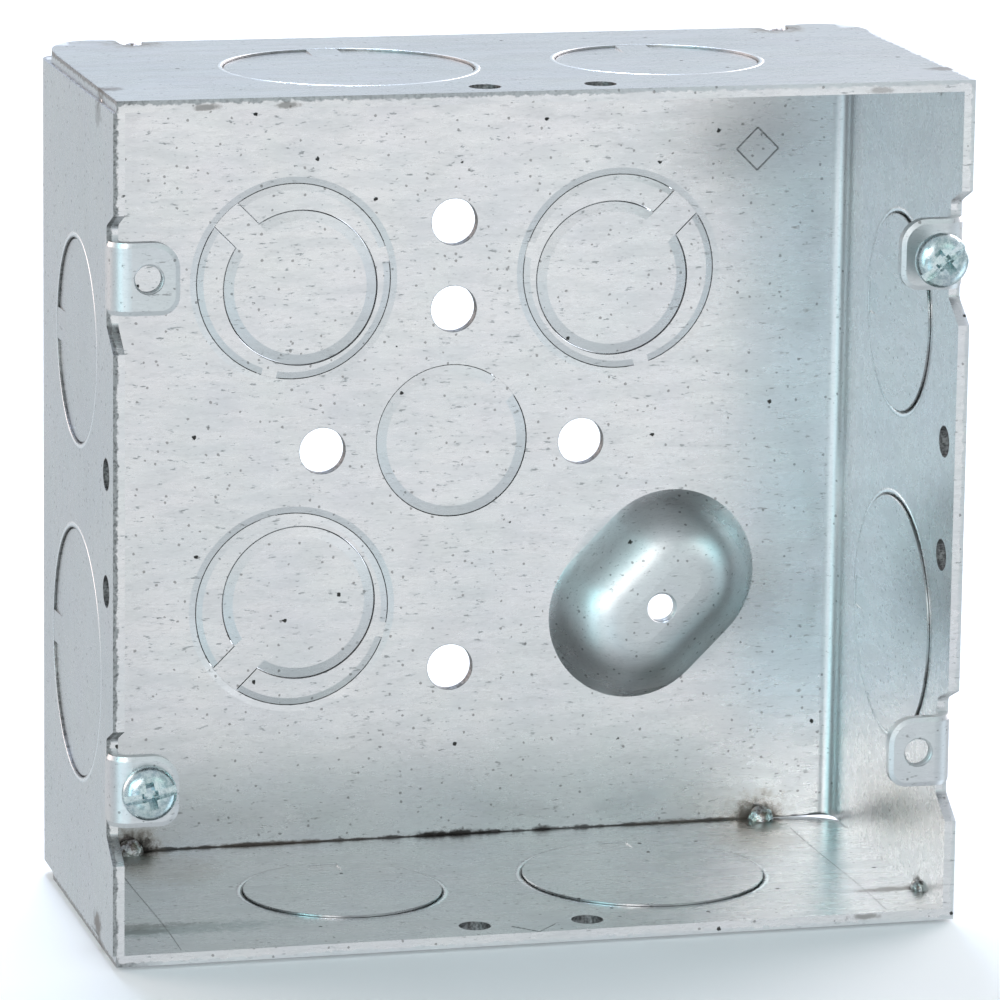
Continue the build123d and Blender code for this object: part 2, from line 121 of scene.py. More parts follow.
# ---- Node graphs ----
class Graph:
    """Short way to write a material's nodes: each method adds one node and returns its output."""

    def __init__(self, material):
        material.use_nodes = True
        self.tree = material.node_tree
        self.tree.nodes.clear()

    def add(self, kind, inputs=(), output=0, **settings):
        node = self.tree.nodes.new("ShaderNode" + kind)
        for key, value in settings.items():
            setattr(node, key, value)
        for key, value in dict(inputs).items():
            if isinstance(value, bpy.types.NodeSocket):
                self.tree.links.new(value, node.inputs[key])
            else:
                node.inputs[key].default_value = value
        return node.outputs[output]

    def math(self, operation, a, b=0.0, c=0.0):
        return self.add("Math", {0: a, 1: b, 2: c}, operation=operation)

    def vector(self, operation, a, b=(0, 0, 0)):
        return self.add("VectorMath", {0: a, 1: b}, operation=operation)

    def length(self, a):
        return self.add("VectorMath", {0: a}, output=1, operation="LENGTH")

    def dot(self, a, b):
        return self.add("VectorMath", {0: a, 1: b}, output=1, operation="DOT_PRODUCT")

    def remap(self, value, low, high, to_low=0.0, to_high=1.0, smooth=True):
        kind = "SMOOTHSTEP" if smooth else "LINEAR"
        inputs = {0: value, 1: low, 2: high, 3: to_low, 4: to_high}
        return self.add("MapRange", inputs, interpolation_type=kind, clamp=True)

    def noise(self, vector, scale, detail=3.0, roughness=0.55):
        inputs = {"Vector": vector, "Scale": scale, "Detail": detail, "Roughness": roughness}
        return self.add("TexNoise", inputs)

    def tint(self, vector, scale, detail=2.0):
        return self.add("TexNoise", {"Vector": vector, "Scale": scale, "Detail": detail}, output=1)

    def mix(self, factor, a, b, blend="MIX"):
        inputs = {0: factor, 6: a, 7: b}
        return self.add("Mix", inputs, output=2, data_type="RGBA", blend_type=blend)

    def bump(self, height, strength, distance, normal=None):
        inputs = {"Height": height, "Strength": strength, "Distance": distance}
        if normal is not None:
            inputs["Normal"] = normal
        return self.add("Bump", inputs)

    def millimetres(self):
        coordinates = self.add("TexCoord", output=3)
        return self.vector("MULTIPLY", coordinates, (1000, 1000, 1000))

    def axes(self, vector):
        node = self.tree.nodes.new("ShaderNodeSeparateXYZ")
        self.tree.links.new(vector, node.inputs[0])
        return node.outputs[0], node.outputs[1], node.outputs[2]

    def finish(self, color, roughness, normal, metallic=1.0, **fixed):
        shader = self.add("BsdfPrincipled", {"Base Color": color, "Roughness": roughness,
                                             "Normal": normal, "Metallic": metallic, **fixed})
        self.add_output(shader)

    def add_output(self, shader):
        node = self.tree.nodes.new("ShaderNodeOutputMaterial")
        self.tree.links.new(shader, node.inputs["Surface"])


def gray(level, warm=0.0):
    return (level * (1 + warm), level, level * (1 - warm), 1.0)


def specks(g, place, spacing, size, keep):
    """Mask of small uneven dots, one in a cell of the given spacing, in the kept share of the cells."""
    vector = g.vector("MULTIPLY", place, (1 / spacing,) * 3)
    voronoi = g.tree.nodes.new("ShaderNodeTexVoronoi")
    g.tree.links.new(vector, voronoi.inputs["Vector"])
    voronoi.inputs["Scale"].default_value = 1.0
    chosen = g.add("SeparateColor", {0: voronoi.outputs["Color"]})
    wobble = g.noise(place, 3.0, 2.0)
    reach = g.math("MULTIPLY_ADD", wobble, 1.6 * size / spacing, 0.1 * size / spacing)
    dot = g.remap(g.math("DIVIDE", voronoi.outputs["Distance"], reach), 1.15, 0.85)
    return g.math("MULTIPLY", dot, g.math("LESS_THAN", chosen, keep))


def blot(g, place, ragged, centre, radii, soft=0.6):
    """Mask of a soft ragged patch about a point: 1 in its middle, 0 past its radii."""
    offset = g.vector("SUBTRACT", place, centre)
    scaled = g.vector("DIVIDE", offset, radii)
    reach = g.math("ADD", g.length(scaled), ragged)
    return g.remap(reach, 1.0, 1.0 - soft)


EDGE_X = HALF_WIDTH - SHEET            # inner face of a side wall
PLATE_IN = WALL_TOP                    # inner face of an end plate

# Open round holes: two in each wall by the rim, five in the back.
RIM_HOLE_Y = -49.4
RIM_HOLE_OFF = 8.0
RIM_HOLE_RADIUS = 2.15
RIM_HOLE_MARGIN = 0.08
FIXING_HOLES = ((0.0, 32.45), (0.0, -32.45), (19.0, 0.0), (-19.0, 0.0), (0.0, 19.9))
FIXING_HOLE_RADIUS = 3.35
FIXING_HOLE_MARGIN = 0.05

# The line round a wall knockout, painted shade along the cut beside a lip painted bright, partly burnish and
# partly a painted highlight: half widths and how far the bright lip lies outside the cut.
CUT_WIDTH = 0.24
LIP_WIDTH = 0.42
LIP_OFFSET = 0.45
LINE_CORE = 0.08

# Where the sheet was drawn or bent.
BOSS_MIDDLE = (29.9, -4.0, -22.9)
BOSS_REACH = (16.5, 12.0, 16.5)
EAR_LEVEL = 35.0
EAR_REACH = 5.4
EAR_ZONE = 5.5
WORKED_ROUGHNESS = 0.42

# Noise in the coat, in waves per millimetre: the larger the number, the finer the pattern.
CLOUDS = 0.05
TINTS = 0.12
PATCHES = 0.5
GATES = 0.6
MOTTLES = 2.3
THREADS = 2.4
FINES = 4.0

# Depth of the relief, in metres.
COAT_RELIEF = 0.00004
LINE_RELIEF = 0.00016

# Specks in the coat: spacing, size, and the share of places that has one.
DOTS = (4.2, 0.34, 0.3)
PITS = (1.5, 0.22, 0.5)

# Marks left by welding. The back seam's welds sit at this X, the side seams' at this Y.
SEAM_X = 46.7
SIDE_WELD_Y = -43.5
SOOT = (0.045, 0.04, 0.036, 1)
SCORCH = (0.16, 0.135, 0.115, 1)
STRAW = (0.42, 0.36, 0.30, 1)
TEMPER = (0.24, 0.31, 0.30, 1)


def stains():
    """Heat marks, soot and dirt, each: middle, radii, colour, strength."""
    for x in (-SEAM_X, SEAM_X):
        for z in (-PLATE_IN, PLATE_IN):
            yield (x, -2.4, z), (6.2, 5.0, 5.4), STRAW, 0.55
            yield (x, -2.2, z), (4.3, 3.6, 3.7), SCORCH, 0.85
    for x in (-SEAM_X, SEAM_X):
        yield (x, -6.0, -PLATE_IN), (4.0, 4.6, 1.0), TEMPER, 0.6
        yield (x * 0.92, -12.0, -PLATE_IN), (9.0, 11.0, 1.0), STRAW, 0.33
    yield (-SEAM_X, -1.7, -PLATE_IN), (4.6, 2.4, 2.4), SOOT, 0.95
    for side in (-1, 1):
        for z in (-PLATE_IN, PLATE_IN):
            yield (side * EDGE_X, -43.3, z), (2.4, 3.6, 2.4), SCORCH, 0.8
            outer = math.copysign(HALF_HEIGHT, z)
            yield (side * (EDGE_X + 0.5), SIDE_WELD_Y, outer), (3.4, 2.2, 0.7), SCORCH, 0.7
        yield (side * (EDGE_X - 4), -43.0, -PLATE_IN), (6.5, 1.7, 0.6), SCORCH, 0.6
    yield (-EDGE_X, -42.5, -PLATE_IN), (34.0, 4.2, 0.7), TEMPER, 0.5
    yield (-EDGE_X, -40.5, -PLATE_IN), (16.0, 2.4, 0.6), SCORCH, 0.45
    yield (-HALF_WIDTH, SIDE_WELD_Y, -PLATE_IN + 1.5), (0.8, 3.4, 2.6), SCORCH, 0.75
    yield (-HALF_WIDTH, SIDE_WELD_Y, PLATE_IN - 1.5), (0.8, 3.0, 2.2), SCORCH, 0.4
    yield (1.0, -1.2, -PLATE_IN), (11.0, 1.4, 0.95), SOOT, 0.95
    yield (14.0, -1.5, -PLATE_IN), (2.2, 0.9, 0.8), SOOT, 0.8
    yield (34.0, -1.5, -PLATE_IN), (12.0, 1.2, 0.75), SCORCH, 0.6
    yield (-26.0, -1.5, -PLATE_IN), (16.0, 0.9, 0.6), SCORCH, 0.7
    for x in (-47.0, -36.0, 46.5):
        yield (x, -DEPTH, math.copysign(PLATE_IN + 0.5, -x)), (2.6, 0.7, 0.6), SCORCH, 0.6
    yield (46.0, -DEPTH, PLATE_IN + 0.5), (2.4, 0.7, 0.6), SCORCH, 0.45


def dark_seam_line(g, place, color):
    """Thin dark line in the corner between the back and an end plate, thicker in places."""
    x, y, z = g.axes(place)
    from_back = g.math("ADD", y, SHEET)
    from_plate = g.math("SUBTRACT", g.math("ABSOLUTE", z), PLATE_IN)
    corner = g.length(g.add("CombineXYZ", {1: from_back, 2: from_plate}))
    along = g.vector("MULTIPLY", place, (0.3, 1.0, 1.0))
    width = g.remap(g.noise(along, 0.7, 4.0, 0.7), 0.35, 0.75, 0.12, 0.75)
    line = g.remap(g.math("DIVIDE", corner, width), 1.2, 0.5)
    return g.mix(g.math("MULTIPLY", line, 0.8), color, SOOT), line


def add_stains(g, place, color):
    color, seam_and_burns = dark_seam_line(g, place, color)
    ragged = g.math("MULTIPLY_ADD", g.noise(place, 0.8, 4.0, 0.7), 1.5, -0.75)
    for centre, radii, stain, strength in stains():
        mask = g.math("MULTIPLY", blot(g, place, ragged, centre, radii), strength)
        color = g.mix(mask, color, stain)
        seam_and_burns = g.math("MAXIMUM", mask, seam_and_burns)
    return color, seam_and_burns


def sheared_edge(g, place, color):
    """The cut edges of the sheet: a torn half outside and a burnished half inside, with painted shade on the
    torn half at the left wall's rim and on the top rim, strongest at its left.
    """
    normal = g.add("TexCoord", output=1)
    nx, _, nz = (g.math("ABSOLUTE", axis) for axis in g.axes(normal))
    x, _, z = (g.math("ABSOLUTE", axis) for axis in g.axes(place))
    wall = g.math("MULTIPLY", g.math("GREATER_THAN", x, EDGE_X - 0.02), g.math("LESS_THAN", nx, 0.35))
    plate = g.math("MULTIPLY", g.math("GREATER_THAN", z, PLATE_IN - 0.02), g.math("LESS_THAN", nz, 0.35))
    edge = g.math("MAXIMUM", wall, plate)
    rough_line = g.math("MULTIPLY_ADD", g.noise(place, 1.3, 3.0), 1.2, -0.6)
    across_wall = g.math("MULTIPLY", g.math("SUBTRACT", x, EDGE_X), wall)
    across_plate = g.math("MULTIPLY", g.math("SUBTRACT", z, PLATE_IN), plate)
    across = g.math("ADD", g.math("MAXIMUM", across_wall, across_plate), rough_line)
    torn = g.remap(across, 0.55 * SHEET, 0.72 * SHEET)
    speckle = g.remap(g.noise(place, 2.2, 4.0, 0.75), 0.42, 0.66)
    side, _, height = g.axes(place)
    # Painted shade on the torn half: at the left wall's rim, and on the top rim strongest at its left, fading
    # out towards the right.
    unshaded = g.remap(side, -EDGE_X - 1, -EDGE_X + 6)
    top = g.math("GREATER_THAN", height, PLATE_IN)
    unshaded_top = g.math("MULTIPLY", g.remap(side, -20.0, 35.0, 0.35, 1.0), top)
    unshaded = g.math("MULTIPLY", unshaded, g.math("MAXIMUM", unshaded_top, g.math("SUBTRACT", 1.0, top)))
    dark = g.mix(speckle, gray(0.36, 0.01), gray(0.1, 0.02))
    dark = g.mix(unshaded, dark, color)
    shade = g.mix(torn, color, dark)
    return g.mix(g.math("MULTIPLY", edge, 0.9), color, shade), g.math("MULTIPLY", edge, torn)


def hole_walls(g, place, color):
    """Walls of the round holes that stay open, in the rim and in the back, painted dark: partly the torn
    fracture, partly painted shade inside the holes.
    """
    x, y, z = g.axes(place)
    wide, high = g.math("ABSOLUTE", x), g.math("ABSOLUTE", z)
    row = g.math("SUBTRACT", y, RIM_HOLE_Y)
    in_plate = g.length(g.add("CombineXYZ", {0: g.math("SUBTRACT", wide, RIM_HOLE_OFF), 1: row}))
    in_wall = g.length(g.add("CombineXYZ", {0: g.math("SUBTRACT", high, RIM_HOLE_OFF), 1: row}))
    walls = g.math("LESS_THAN", g.math("MINIMUM", in_plate, in_wall), RIM_HOLE_RADIUS + RIM_HOLE_MARGIN)
    back = g.math("GREATER_THAN", y, -SHEET - 0.05)
    for across, up in FIXING_HOLES:
        offset = g.add("CombineXYZ", {0: g.math("SUBTRACT", x, across), 1: g.math("SUBTRACT", z, up)})
        wall = g.math("LESS_THAN", g.length(offset), FIXING_HOLE_RADIUS + FIXING_HOLE_MARGIN)
        walls = g.math("MAXIMUM", walls, g.math("MULTIPLY", wall, back))
    grit = g.remap(g.noise(place, 2.5, 3.0, 0.7), 0.35, 0.65)
    # Painted shade: the hole walls and a thin ring round each hole get this dark colour.
    torn = g.mix(grit, gray(0.1, 0.02), gray(0.32, 0.01))
    return g.mix(walls, color, torn), walls


def punch_marks_and_painted_light(g, place, color):
    """Line round each wall knockout: painted shade along the cut, beside a bright rolled lip that is partly a
    burnished ring and partly a painted highlight.
    """
    cut, lip = 0.0, 0.0
    for middle, inward, radius in PUNCHED:
        offset = g.vector("SUBTRACT", place, middle)
        flat = g.vector("MULTIPLY", offset, [1 - abs(part) for part in inward])
        depth = g.math("ABSOLUTE", g.dot(offset, inward))
        near = g.math("LESS_THAN", depth, 2 * SHEET)
        away = g.math("SUBTRACT", g.length(flat), radius)
        dark = g.remap(g.math("ABSOLUTE", away), CUT_WIDTH, LINE_CORE)
        light = g.remap(g.math("ABSOLUTE", g.math("SUBTRACT", away, LIP_OFFSET)), LIP_WIDTH, LINE_CORE)
        cut = g.math("MAXIMUM", cut, g.math("MULTIPLY", dark, near))
        lip = g.math("MAXIMUM", lip, g.math("MULTIPLY", light, near))
    # Painted highlight on the lip, partly burnish; the next line paints shade along the cut.
    color = g.mix(g.math("MULTIPLY", lip, 0.85), color, gray(1.0, -0.01))
    return g.mix(g.math("MULTIPLY", cut, 0.6), color, gray(0.3, 0.01)), cut, lip


def worked_metal(g, place):
    """Mask of the sheet that was drawn or bent, where the coat went dull: boss, back corners, ears."""
    drawn = blot(g, place, 0.0, BOSS_MIDDLE, BOSS_REACH, 0.25)
    x, y, z = g.axes(place)
    wide = g.math("ABSOLUTE", x)
    corner = g.math("MULTIPLY", g.remap(wide, EDGE_X - 3.2, EDGE_X - 1.6), g.remap(y, -5.5, -3.5))
    front = g.math("LESS_THAN", y, -DEPTH + EAR_ZONE)
    from_ear = g.math("ABSOLUTE", g.math("SUBTRACT", g.math("ABSOLUTE", z), EAR_LEVEL))
    ear = g.math("MULTIPLY", front, g.math("LESS_THAN", from_ear, EAR_REACH))
    return g.math("MAXIMUM", drawn, g.math("MAXIMUM", corner, ear))


def galvanized(name, grain, base, streaks=1.0, roughness=0.27):
    """Skin-passed zinc coat: rolled grain, broken streaks, pits, faint tints, welding and shearing marks,
    with painted shade and highlight round the knockouts and painted shade at the left rims and in the open
    holes.
    """
    material = bpy.data.materials.new(name)
    g = Graph(material)
    place = g.millimetres()
    along = g.vector("MULTIPLY", place, grain)
    clouds = g.noise(place, CLOUDS, 2.0, 0.5)
    patches = g.noise(along, PATCHES, 3.0, 0.6)
    mottle = g.noise(along, MOTTLES, 4.0, 0.8)
    fine = g.noise(along, FINES, 3.0, 0.8)
    threads = g.noise(along, THREADS, 4.0, 0.65)
    gate = g.remap(g.noise(place, GATES, 3.0, 0.6), 0.42, 0.58)
    tint = g.tint(place, TINTS, 4.0)

    color = g.mix(g.remap(clouds, 0.3, 0.7), gray(base * 0.97, -0.006), gray(base * 1.02, 0.004))
    color = g.mix(0.08, color, tint, "SOFT_LIGHT")
    color = g.mix(g.remap(patches, 0.45, 0.7, 0.0, 0.16), color, gray(base * 0.8, -0.006))
    color = g.mix(g.remap(mottle, 0.5, 0.62, 0.0, 0.3), color, gray(base * 0.74))
    color = g.mix(g.remap(fine, 0.42, 0.34, 0.0, 0.3), color, gray(min(base * 1.25, 1.0)))
    streak = g.math("MULTIPLY", g.remap(threads, 0.6, 0.66), gate)
    color = g.mix(g.math("MULTIPLY", streak, 0.8 * streaks), color, gray(base * 0.45, 0.01))
    dots = specks(g, place, *DOTS)
    pits = specks(g, place, *PITS)
    color = g.mix(g.math("MULTIPLY", dots, 0.95), color, gray(0.04, 0.1))
    color = g.mix(g.math("MULTIPLY", pits, 0.7), color, gray(0.2, 0.03))
    # Painted shade along the knockout cuts, at the left rims and in the open holes; painted highlight on the
    # knockout lips.
    color, cut, lip = punch_marks_and_painted_light(g, place, color)
    color, torn = sheared_edge(g, place, color)
    color, holes = hole_walls(g, place, color)
    torn = g.math("MAXIMUM", torn, holes)
    color, seam_and_burns = add_stains(g, place, color)

    rough = g.remap(patches, 0.3, 0.7, roughness - 0.02, roughness + 0.03, smooth=False)
    rough = g.math("ADD", rough, g.math("MULTIPLY", streak, 0.1))
    rough = g.math("MAXIMUM", rough, g.math("MULTIPLY", g.math("MAXIMUM", dots, seam_and_burns), 0.6))
    rough = g.math("MAXIMUM", rough, g.math("MULTIPLY", torn, 0.5))
    rough = g.math("MAXIMUM", rough, g.math("MULTIPLY", worked_metal(g, place), WORKED_ROUGHNESS))
    relief = g.math("MULTIPLY_ADD", fine, 0.4, g.math("MULTIPLY", mottle, 0.6))
    relief = g.math("SUBTRACT", relief, g.math("MULTIPLY", g.math("MAXIMUM", streak, dots), 0.5))
    relief = g.math("MULTIPLY_ADD", g.math("MAXIMUM", seam_and_burns, torn), g.noise(place, 1.8, 5.0, 0.8), relief)
    lines = g.bump(g.math("SUBTRACT", lip, cut), 0.8, LINE_RELIEF)
    normal = g.bump(relief, 0.2, COAT_RELIEF, lines)
    g.finish(color, rough, normal)
    return material


# The grain runs along X on the back and the end plates, and along Y on the side walls' slugs.
GRAIN_X = (1 / 4, 1.0, 1.0)
GRAIN_Y = (1.0, 1 / 3, 1.0)
wrap_steel = galvanized("galvanized_wrap", GRAIN_X, 0.72)
plate_steel = galvanized("galvanized_plate", GRAIN_X, 0.70, streaks=0.7)
side_steel = galvanized("galvanized_side", GRAIN_Y, 0.71, streaks=0.5)


def zinc_plate(name):
    """Bright clear-passivated zinc on a screw: faint blue and yellow bloom, fine turning marks."""
    material = bpy.data.materials.new(name)
    g = Graph(material)
    place = g.millimetres()
    bloom = g.tint(place, 0.5)
    wear = g.noise(place, 1.4, 4.0, 0.7)
    color = g.mix(g.remap(wear, 0.35, 0.65), (0.42, 0.52, 0.54, 1), (0.70, 0.78, 0.78, 1))
    color = g.mix(0.16, color, bloom, "SOFT_LIGHT")
    scuffs = g.remap(g.noise(place, 4.0, 3.0, 0.7), 0.6, 0.7, 0.0, 0.5)
    color = g.mix(scuffs, color, gray(0.4, -0.02))
    rough = g.remap(wear, 0.3, 0.7, 0.2, 0.34, smooth=False)
    g.finish(color, rough, g.bump(g.noise(place, 6.0, 3.0), 0.12, COAT_RELIEF))
    return material


def weld_metal(name):
    """Steel melted and squeezed out of a resistance weld: bright crown, blued and sooty foot."""
    material = bpy.data.materials.new(name)
    g = Graph(material)
    place = g.millimetres()
    lumps = g.noise(place, 1.1, 5.0, 0.7)
    burn = g.tint(place, 0.7)
    color = g.mix(g.remap(lumps, 0.42, 0.6), gray(0.62, 0.01), (0.20, 0.17, 0.15, 1))
    color = g.mix(0.25, color, burn, "SOFT_LIGHT")
    rough = g.remap(lumps, 0.35, 0.7, 0.2, 0.6)
    g.finish(color, rough, g.bump(lumps, 0.5, 0.0002))
    return material


screw_steel = zinc_plate("zinc_screw")
weld_steel = weld_metal("weld_metal")


def material_for(node):
    if "weld" in node:
        return weld_steel
    if "screw" in node:
        return screw_steel
    if "plate" in node or "_top_" in node or "_bottom_" in node:
        return plate_steel
    if "knockout_left" in node or "knockout_right" in node:
        return side_steel
    return wrap_steel


for node, piece in frame["nodes"].items():
    piece.data.materials.clear()
    piece.data.materials.append(material_for(node))


# ---- Mesh helpers ----
def finish_piece(name, bm, material, sharp=35):
    """Turns a bmesh in millimetres into a smooth-shaded piece in metres."""
    bmesh.ops.recalc_face_normals(bm, faces=bm.faces)
    bmesh.ops.scale(bm, vec=(MM,) * 3, verts=bm.verts)
    mesh = bpy.data.meshes.new(name)
    bm.to_mesh(mesh)
    bm.free()
    piece = bpy.data.objects.new(name, mesh)
    bpy.context.scene.collection.objects.link(piece)
    mesh.materials.append(material)
    smooth(mesh, sharp)
    return piece


def smooth(mesh, sharp=35):
    for face in mesh.polygons:
        face.use_smooth = True
    mesh.set_sharp_from_angle(angle=math.radians(sharp))


def skin(bm, rows):
    """Quads between successive rows of points, each row a ring."""
    rings = [[bm.verts.new(point) for point in row] for row in rows]
    count = len(rings[0])
    for low_ring, high_ring in zip(rings, rings[1:]):
        for i in range(count):
            j = (i + 1) % count
            bm.faces.new((low_ring[i], low_ring[j], high_ring[j], high_ring[i]))
    return rings


def skin_bar(bm, rows):
    """The same, closed by a face at either end."""
    rings = skin(bm, rows)
    bm.faces.new(rings[0])
    bm.faces.new(rings[-1])


def ring_points(radius, z, segments):
    turns = (2 * math.pi * i / segments for i in range(segments))
    return [(radius * math.cos(a), radius * math.sin(a), z) for a in turns]


def lathe(bm, profile, segments=96):
    skin_bar(bm, [ring_points(radius, z, segments) for radius, z in profile])


def carve(piece, cutters):
    """Cuts each cutter out of the piece and throws the cutters away."""
    for cutter in cutters:
        modifier = piece.modifiers.new("cut", "BOOLEAN")
        modifier.object = cutter
        modifier.solver = "EXACT"
    graph = bpy.context.evaluated_depsgraph_get()
    mesh = bpy.data.meshes.new_from_object(piece.evaluated_get(graph))
    piece.modifiers.clear()
    piece.data = mesh
    for cutter in cutters:
        bpy.data.objects.remove(cutter)
    smooth(mesh)


# ---- Cover screws ----
SCREW_LENGTH = 9.5
HEAD_RADIUS = 3.75
HEAD_HEIGHT = 2.34
HEAD_SHOULDER = 0.75          # height of the head's straight rim
HEAD_CROWN = 1.15             # radius of the flat on its top
SLOT = ((9, 1.3), (9, 1.15), 1.15)     # size at the top, size at the bottom, depth
ARM_ACROSS = ((1.15, 3.9), (0.7, 1.5), 1.7)
ARM_ALONG = ((3.9, 1.15), (1.5, 0.7), 1.7)
THREAD_PITCH = 0.794
THREAD_MAJOR = 2.02
THREAD_MINOR = 1.62
SCREW_TURN = {"cover_screw_upper_right": 40, "cover_screw_lower_left": 11}
SCREW_BODY = {"cover_screw_upper_right": "screw_upper_right", "cover_screw_lower_left": "screw_lower_left"}


def wedge_cutter(name, top_size, bottom_size, depth):
    """Tapered box from above the head down to the given depth."""
    bm = bmesh.new()
    rows = []
    for size, z in ((bottom_size, HEAD_HEIGHT - depth), (top_size, HEAD_HEIGHT), (top_size, HEAD_HEIGHT + 2)):
        x, y = size[0] / 2, size[1] / 2
        rows.append([(x, y, z), (-x, y, z), (-x, -y, z), (x, -y, z)])
    skin_bar(bm, rows)
    bmesh.ops.recalc_face_normals(bm, faces=bm.faces)
    mesh = bpy.data.meshes.new(name)
    bm.to_mesh(mesh)
    bm.free()
    cutter = bpy.data.objects.new(name, mesh)
    bpy.context.scene.collection.objects.link(cutter)
    return cutter


def head_profile():
    """Pan head from the axis under the head, round its edge, to the top."""
    points = [(THREAD_MINOR, 0.0), (HEAD_RADIUS - 0.25, 0.0), (HEAD_RADIUS - 0.06, 0.1), (HEAD_RADIUS, 0.3)]
    steps = 14
    for i in range(steps + 1):
        a = math.pi / 2 * i / steps
        radius = HEAD_CROWN + (HEAD_RADIUS - HEAD_CROWN) * math.cos(a) ** 0.8
        points.append((radius, HEAD_SHOULDER + (HEAD_HEIGHT - HEAD_SHOULDER) * math.sin(a) ** 1.15))
    return points + [(0.3, HEAD_HEIGHT)]


def thread_radius(turn, z):
    """Ridge height of a right-handed 60 degree thread, fading out at the tip and under the head."""
    phase = (z / THREAD_PITCH - turn) % 1.0
    ridge = min(1.0, 1.2 * (1 - abs(2 * phase - 1)))
    fade = min(1.0, (z + SCREW_LENGTH) / 0.9, -z / 0.5 + 0.15)
    tip = min(0.0, (z + SCREW_LENGTH) - 0.5) * 0.5
    return THREAD_MINOR + (THREAD_MAJOR - THREAD_MINOR) * ridge * max(0.0, fade) + tip


def thread_rows(segments=48):
    steps = round(SCREW_LENGTH / THREAD_PITCH * 12)
    for step in range(steps + 1):
        z = -SCREW_LENGTH + SCREW_LENGTH * step / steps
        row = []
        for i in range(segments):
            turn = i / segments
            radius = thread_radius(turn, z)
            row.append((radius * math.cos(2 * math.pi * turn), radius * math.sin(2 * math.pi * turn), z))
        yield row


def make_screw(node):
    """Slotted and cross-recessed pan head screw with a real thread, in place of the plain CAD one."""
    low, high = node_box(node)
    centre = (low + high) / 2
    head_base = high.y - SCREW_LENGTH
    bm = bmesh.new()
    lathe(bm, head_profile())
    bmesh.ops.recalc_face_normals(bm, faces=bm.faces)
    mesh = bpy.data.meshes.new(node + "_detail")
    bm.to_mesh(mesh)
    bm.free()
    piece = bpy.data.objects.new(node + "_detail", mesh)
    bpy.context.scene.collection.objects.link(piece)
    recesses = {"slot": SLOT, "arm_across": ARM_ACROSS, "arm_along": ARM_ALONG}
    carve(piece, [wedge_cutter(name, *sizes) for name, sizes in recesses.items()])
    bm = bmesh.new()
    bm.from_mesh(piece.data)
    rings = skin(bm, list(thread_rows()))
    bm.faces.new(rings[0])
    bpy.data.objects.remove(piece)
    place = Matrix(((1, 0, 0), (0, 0, -1), (0, 1, 0))).to_4x4()
    turn = Matrix.Rotation(math.radians(SCREW_TURN[node]), 4, "Z")
    bmesh.ops.transform(bm, matrix=place @ turn, verts=bm.verts)
    bmesh.ops.translate(bm, vec=(centre.x, head_base, centre.z), verts=bm.verts)
    detail = finish_piece(node + "_detail", bm, screw_steel, 32)
    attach(detail, SCREW_BODY[node])
    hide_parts(node)


for node in SCREW_TURN:
    make_screw(node)


# ---- Weld nuggets ----
def add_nugget(bm, centre, radii, seed):
    """Uneven dome of melted steel."""
    start = len(bm.verts)
    bmesh.ops.create_icosphere(bm, subdivisions=5, radius=1.0)
    bm.verts.ensure_lookup_table()
    for vert in bm.verts[start:]:
        direction = vert.co.normalized()
        lump = noise.fractal(direction * 1.7 + Vector((seed, 0, 0)), 0.8, 2.0, 4)
        pit = noise.noise(direction * 5 + Vector((0, seed, 0)))
        size = 1 + 0.10 * lump + 0.04 * pit
        vert.co = Vector((direction[i] * radii[i] * size + centre[i] for i in range(3)))


def make_welds(node, offset, radii):
    """Both nuggets of one seam, about the middles of the CAD node's two solids."""
    low, high = node_box(node)
    bm = bmesh.new()
    inward = -1 if low.z > 0 else 1
    level = WALL_TOP if low.z > 0 else -WALL_TOP
    depth = (low.y + high.y) / 2
    for side, edge in ((-1, low.x), (1, high.x)):
        x = edge - side * offset
        add_nugget(bm, (x, depth, level + inward * 0.1), radii, side * 3.1 + depth + level)
    detail = finish_piece(node + "_detail", bm, weld_steel, 60)
    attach(detail, BODY)
    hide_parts(node)


BACK_NUGGET = (1.85, 1.65, 1.85)       # radii
SIDE_NUGGET = (1.2, 1.6, 1.2)
for end in ("top", "bottom"):
    make_welds("back_seam_welds_" + end, 1.9, BACK_NUGGET)
    make_welds("side_seam_welds_" + end, 0.0, SIDE_NUGGET)


# ---- Tapped threads inside the empty screw holes ----
def tapped_thread(name, centre, radius, length, pitch):
    """Internal thread: a sleeve in the hole whose inner face carries the ridge. Its axis is Y."""
    depth = 0.28              # height of the ridge
    sleeve = radius + 0.04    # the sleeve's outer face lies just inside the sheet
    segments = 56
    steps = max(12, round(length / pitch * 10))
    rows = []
    for step in range(steps + 1):
        z = length * (step / steps - 0.5)
        row = []
        for i in range(segments):
            phase = (z / pitch + i / segments) % 1.0
            fade = min(1.0, (length / 2 - abs(z)) / 0.2)
            reach = radius - 0.02 - depth * min(1.0, 1.2 * (1 - abs(2 * phase - 1))) * fade
            a = 2 * math.pi * i / segments
            row.append((reach * math.cos(a), z, reach * math.sin(a)))
        rows.append(row)
    for z in (length / 2, -length / 2):
        rows.append([(x, z, y) for x, y, _ in ring_points(sleeve, 0, segments)])
    bm = bmesh.new()
    rings = skin(bm, rows)
    for i in range(segments):
        j = (i + 1) % segments
        bm.faces.new((rings[-1][i], rings[-1][j], rings[0][j], rings[0][i]))
    bmesh.ops.translate(bm, vec=centre, verts=bm.verts)
    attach(finish_piece(name, bm, wrap_steel), BODY)


mounts = {mount["name"]: mount for mount in frame["record"]["mounts"]}
for hole in ("ear_hole_upper_left", "ear_hole_lower_right", "ground_screw_hole"):
    mount = mounts[hole]
    tapped_thread(hole + "_thread", Vector(mount["pos_m"]) / MM, mount["dims"]["r_mm"],
                  mount["dims"]["length_mm"] - 0.1, THREAD_PITCH)


